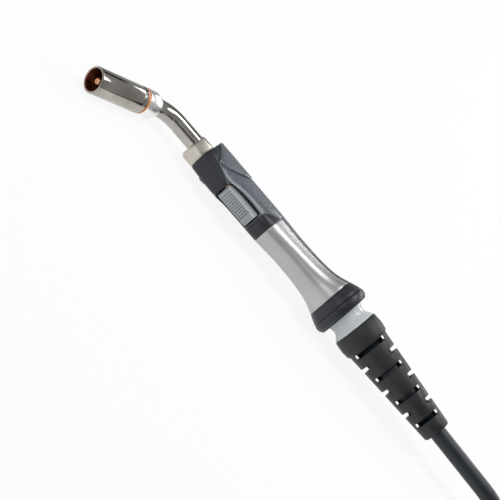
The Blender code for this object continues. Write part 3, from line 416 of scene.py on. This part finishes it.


# The collar's near-white tone, far brighter than nickel plate, is a painted highlight that makes the collar
# shine white.
collar_nickel = metal("collar_nickel", (0.97, 0.97, 0.96), (0.90, 0.90, 0.89), 0.26, 0.36, 900, 0.00002)
# The neck's nickel is darker and browner than plate: a painted dark reflection; the patches between its two
# tones are tarnish.
nickel = metal("bright_nickel", (0.52, 0.505, 0.48), (0.36, 0.34, 0.31), 0.07, 0.16, 700, 0.00002)
satin = metal("satin_nickel", (0.66, 0.62, 0.56), (0.52, 0.48, 0.43), 0.30, 0.42, 1500, 0.00006)
copper = metal("copper", (0.82, 0.44, 0.27), (0.46, 0.20, 0.11), 0.24, 0.42, 900, 0.00004)
brass = metal("brass", (0.80, 0.61, 0.31), (0.58, 0.41, 0.20), 0.22, 0.38, 900, 0.00004)
steel = metal("zinc_steel", (0.62, 0.62, 0.63), (0.45, 0.45, 0.46), 0.24, 0.38, 1200, 0.00004)


# ---------------------------------------------------------------- gas nozzle
# Turned copper, nickel plated outside; the bore is bare copper, darkened and spattered by heat.
nozzle_rear_point = Vector((-0.17192, 0.01706, 0.01612))
nozzle_line = Vector((0.61491, 0.78801, 0.03037))
# The plate's tones are darker and browner than nickel: a painted dark reflection; the patches between them
# are tarnish.
nozzle_metal = metal(
    "nozzle_plate_and_copper", (0.47, 0.45, 0.41), (0.30, 0.275, 0.235), 0.07, 0.17, 800, 0.00003,
)
nodes, links = nozzle_metal.node_tree.nodes, nozzle_metal.node_tree.links
place = nodes.new("ShaderNodeTexCoord")
away = nodes.new("ShaderNodeVectorMath")
away.operation = "SUBTRACT"
away.inputs[1].default_value = nozzle_rear_point
across = nodes.new("ShaderNodeVectorMath")
across.operation = "CROSS_PRODUCT"
across.inputs[1].default_value = nozzle_line
reach = nodes.new("ShaderNodeVectorMath")
reach.operation = "LENGTH"
bore = nodes.new("ShaderNodeMapRange")
bore.inputs["From Min"].default_value = 0.01135
bore.inputs["From Max"].default_value = 0.01195
bore.inputs["To Min"].default_value = 1.0
bore.inputs["To Max"].default_value = 0.0
heat = nodes.new("ShaderNodeTexNoise")
heat.inputs["Scale"].default_value = 140.0
heat.inputs["Detail"].default_value = 5.0
heat_tones = nodes.new("ShaderNodeValToRGB")
heat_tones.color_ramp.elements[0].position = 0.35
heat_tones.color_ramp.elements[0].color = (0.16, 0.055, 0.035, 1)
heat_tones.color_ramp.elements[1].position = 0.70
heat_tones.color_ramp.elements[1].color = (0.72, 0.34, 0.19, 1)
plate_mix = nodes.new("ShaderNodeMix")
plate_mix.data_type = "RGBA"
shine_mix = nodes.new("ShaderNodeMix")
shine_mix.inputs["B"].default_value = 0.42
links.new(place.outputs["Object"], away.inputs[0])
links.new(away.outputs["Vector"], across.inputs[0])
links.new(across.outputs["Vector"], reach.inputs[0])
links.new(reach.outputs["Value"], bore.inputs["Value"])
links.new(place.outputs["Object"], heat.inputs["Vector"])
links.new(heat.outputs["Fac"], heat_tones.inputs["Fac"])
links.new(bore.outputs["Result"], plate_mix.inputs["Factor"])
links.new(nodes["tones"].outputs["Color"], plate_mix.inputs["A"])
links.new(heat_tones.outputs["Color"], plate_mix.inputs["B"])
links.new(plate_mix.outputs["Result"], nodes["Principled BSDF"].inputs["Base Color"])
links.new(bore.outputs["Result"], shine_mix.inputs["Factor"])
links.new(nodes["shine"].outputs["Result"], shine_mix.inputs["A"])
links.new(shine_mix.outputs["Result"], nodes["Principled BSDF"].inputs["Roughness"])
dressed("gas_nozzle", "nozzle", nozzle_metal)

# ---------------------------------------------------------------- tip, diffuser and neck
# Copper contact tip in a brass holder and diffuser; a polished, plated neck with its collar,
# an orange insulating ring, and a satin key block that locks the neck in the handle.
for node, slot, finish in (
    ("contact_tip", "copper", copper), ("tip_holder", "brass", brass), ("gas_diffuser", "brass", brass),
    ("nozzle_seal_ring", "orange_insulator", orange), ("nozzle_collar", "nickel", collar_nickel),
    ("swan_neck", "nickel", nickel), ("neck_key_block", "satin_nickel", satin),
    ("neck_coupling", "brass", brass), ("cable_ferrule", "copper", copper),
):
    dressed(node, "handle", finish, edge=0.0 if node in ("swan_neck", "contact_tip") else 0.00025)

# ---------------------------------------------------------------- handle
# Glass-filled shells: a matt nose and lower shell, a glossy housing and top cover, and a
# metallic satin grip over them, closed at the rear by the band and the cap of the ball joint.
# The nose's and lower shell's dark charcoal is painted shade for the handle's shaded underside.
for node, slot, finish, edge in (
    # Charcoal on the nose and lower shell is painted shade; on the band and the cap it is their own colour.
    ("handle_housing", "blue_grey", blue_grey, 0.00035), ("handle_nose", "charcoal", charcoal, 0.0005),
    ("handle_lower_shell", "charcoal", charcoal, 0.0004), ("top_cover", "blue_grey", blue_grey, 0.0005),
    ("soft_grip", "silver_grip", silver, 0.0005), ("end_band", "charcoal", charcoal, 0.0004),
    ("end_cap", "charcoal", charcoal, 0.0006), ("ball_liner", "pale", pale, 0.0),
    ("microswitch", "black_switch", recess_black, 0.0), ("trigger_pin", "steel", steel, 0.0),
    ("housing_screw_0", "steel", steel, 0.0002), ("housing_screw_1", "steel", steel, 0.0002),
    ("inner_cable", "cable_jacket", cable_jacket, 0.0),
):
    dressed(node, "handle", finish, edge)

# ---------------------------------------------------------------- trigger
# A light grey lever with cross ribs for the finger; it turns on a steel pin and pushes the
# switch's small orange plunger, and a coil spring returns it.
dressed("trigger", "trigger", trigger_grey, 0.00025)
dressed("trigger_spring", "trigger", steel, 0.0)
dressed("switch_plunger", "plunger", orange, 0.0)

# ---------------------------------------------------------------- ball joint and boot
# An acetal ball on a waisted collar, plugged into a slotted rubber boot that bends with the cable.
dressed("ball_collar", "ball", pale, 0.0004)
dressed("cable_boot", "cable_set", boot_rubber, 0.0005)

# The boot's inner sleeve, a tapered rubber tube round the cable that the slots open on to.
sleeve_start = ball + boot_line * 0.0405
sleeve_finish = ball + boot_line * 0.1420
shape = bmesh.new()
bmesh.ops.create_cone(
    shape, cap_ends=True, segments=48, radius1=0.0148, radius2=0.0097,
    depth=(sleeve_finish - sleeve_start).length,
)
turn = boot_line.to_track_quat("Z", "Y").to_matrix().to_4x4()
shape.transform(Matrix.Translation((sleeve_start + sleeve_finish) / 2) @ turn)
sleeve_mesh = bpy.data.meshes.new("boot_inner_sleeve")
shape.to_mesh(sleeve_mesh)
shape.free()
boot_inner_sleeve = bpy.data.objects.new("boot_inner_sleeve", sleeve_mesh)
bpy.context.scene.collection.objects.link(boot_inner_sleeve)
for face in sleeve_mesh.polygons:
    face.use_smooth = len(face.vertices) == 4
sleeve_mesh.materials.append(cable_jacket)
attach(boot_inner_sleeve, "cable_set")

# ---------------------------------------------------------------- connector and straps
# A rubber sleeve, moulded housing and fluted hand nut round a brass plug with its gas nipple,
# two spring control pins and the liner's nut; two webbing straps tie the coil.
for node, body, slot, finish, edge in (
    ("connector_sleeve", "cable_set", "boot_rubber", boot_rubber, 0.0005),
    ("connector_housing", "cable_set", "charcoal", charcoal, 0.0006),
    ("connector_nut", "hand_nut", "charcoal", charcoal, 0.0004),
    ("connector_plug", "cable_set", "brass", brass, 0.0003),
    ("gas_nipple", "cable_set", "brass", brass, 0.0002), ("liner_nut", "cable_set", "steel", steel, 0.0002),
    ("control_pin_0", "control_pin_0", "brass", brass, 0.0002),
    ("control_pin_1", "control_pin_1", "brass", brass, 0.0002),
    ("coil_strap_0", "cable_set", "black_switch", strap_web, 0.0004),
    ("coil_strap_1", "cable_set", "black_switch", strap_web, 0.0004),
):
    dressed(node, body, finish, edge)

# ---------------------------------------------------------------- floor, room and lamps
# A plain white floor, a pale room, three large soft lamps, and dark cards for the metal to mirror.
bpy.ops.mesh.primitive_plane_add(size=8.0, location=(0.0, 0.0, 0.0))
floor = bpy.context.active_object
floor.name = "studio_floor"
paper = bpy.data.materials.new("studio_paper")
paper.use_nodes = True
paper_nodes, paper_links = paper.node_tree.nodes, paper.node_tree.links
paper_shader = paper_nodes["Principled BSDF"]
paper_shader.inputs["Base Color"].default_value = (0.93, 0.93, 0.935, 1)
paper_shader.inputs["Roughness"].default_value = 0.9
rays = paper_nodes.new("ShaderNodeLightPath")
either = paper_nodes.new("ShaderNodeMath")
either.operation = "MAXIMUM"
any_ray = paper_nodes.new("ShaderNodeMath")
any_ray.operation = "MAXIMUM"
share = paper_nodes.new("ShaderNodeMath")
share.operation = "MULTIPLY"
share.inputs[1].default_value = 0.88
bright = paper_nodes.new("ShaderNodeEmission")
bright.inputs["Strength"].default_value = 1.0
blend = paper_nodes.new("ShaderNodeMixShader")
paper_links.new(rays.outputs["Is Camera Ray"], either.inputs[0])
paper_links.new(rays.outputs["Is Glossy Ray"], either.inputs[1])
paper_links.new(either.outputs["Value"], any_ray.inputs[0])
paper_links.new(rays.outputs["Is Transmission Ray"], any_ray.inputs[1])
paper_links.new(any_ray.outputs["Value"], share.inputs[0])
paper_links.new(share.outputs["Value"], blend.inputs["Fac"])
paper_links.new(paper_shader.outputs["BSDF"], blend.inputs[1])
paper_links.new(bright.outputs["Emission"], blend.inputs[2])
paper_links.new(blend.outputs["Shader"], paper_nodes["Material Output"].inputs["Surface"])
floor.data.materials.append(paper)

room = bpy.context.scene.world or bpy.data.worlds.new("studio_room")
bpy.context.scene.world = room
room.use_nodes = True
sky = room.node_tree.nodes["Background"]
sky.inputs["Color"].default_value = (1.0, 1.0, 1.0, 1)
sky.inputs["Strength"].default_value = 0.36


def soft_lamp(name, place, size, power):
    bpy.ops.object.light_add(type="AREA", location=place)
    lamp = bpy.context.active_object
    lamp.name = name
    lamp.data.shape = "RECTANGLE"
    lamp.data.size = size[0]
    lamp.data.size_y = size[1]
    lamp.data.energy = power
    lamp.rotation_euler = (Vector((0.0, 0.0, 0.0)) - Vector(place)).to_track_quat("-Z", "Y").to_euler()
    return lamp


soft_lamp("lamp_above", (0.1, 0.3, 1.5), (1.1, 0.5), 10)
soft_lamp("lamp_behind", (0.5, 1.3, 0.8), (1.2, 0.35), 7)
soft_lamp("lamp_front", (-0.7, -1.3, 0.9), (0.8, 0.5), 5)


def dark_card(name, place, size):
    """A black card beside the set, which the plated parts mirror as dark bands."""
    bpy.ops.mesh.primitive_plane_add(size=1.0)
    card = bpy.context.active_object
    card.name = name
    turn = (Vector((-0.05, 0.0, 0.02)) - Vector(place)).to_track_quat("Z", "Y").to_matrix().to_4x4()
    card.data.transform(Matrix.Translation(place) @ turn @ Matrix.Diagonal((size[0], size[1], 1.0, 1.0)))
    felt = bpy.data.materials.new(name + "_felt")
    felt.use_nodes = True
    felt.node_tree.nodes["Principled BSDF"].inputs["Base Color"].default_value = (0.01, 0.01, 0.01, 1)
    felt.node_tree.nodes["Principled BSDF"].inputs["Roughness"].default_value = 1.0
    card.data.materials.append(felt)
    card.visible_camera = False
    card.visible_diffuse = False
    card.visible_shadow = False
    return card


dark_card("card_front", (-0.35, -0.75, 0.42), (0.9, 0.30))
dark_card("card_low", (0.45, -0.70, 0.20), (0.7, 0.22))
dark_card("card_back", (-0.5, 0.75, 0.75), (0.8, 0.30))

bpy.context.scene.view_settings.view_transform = "Standard"
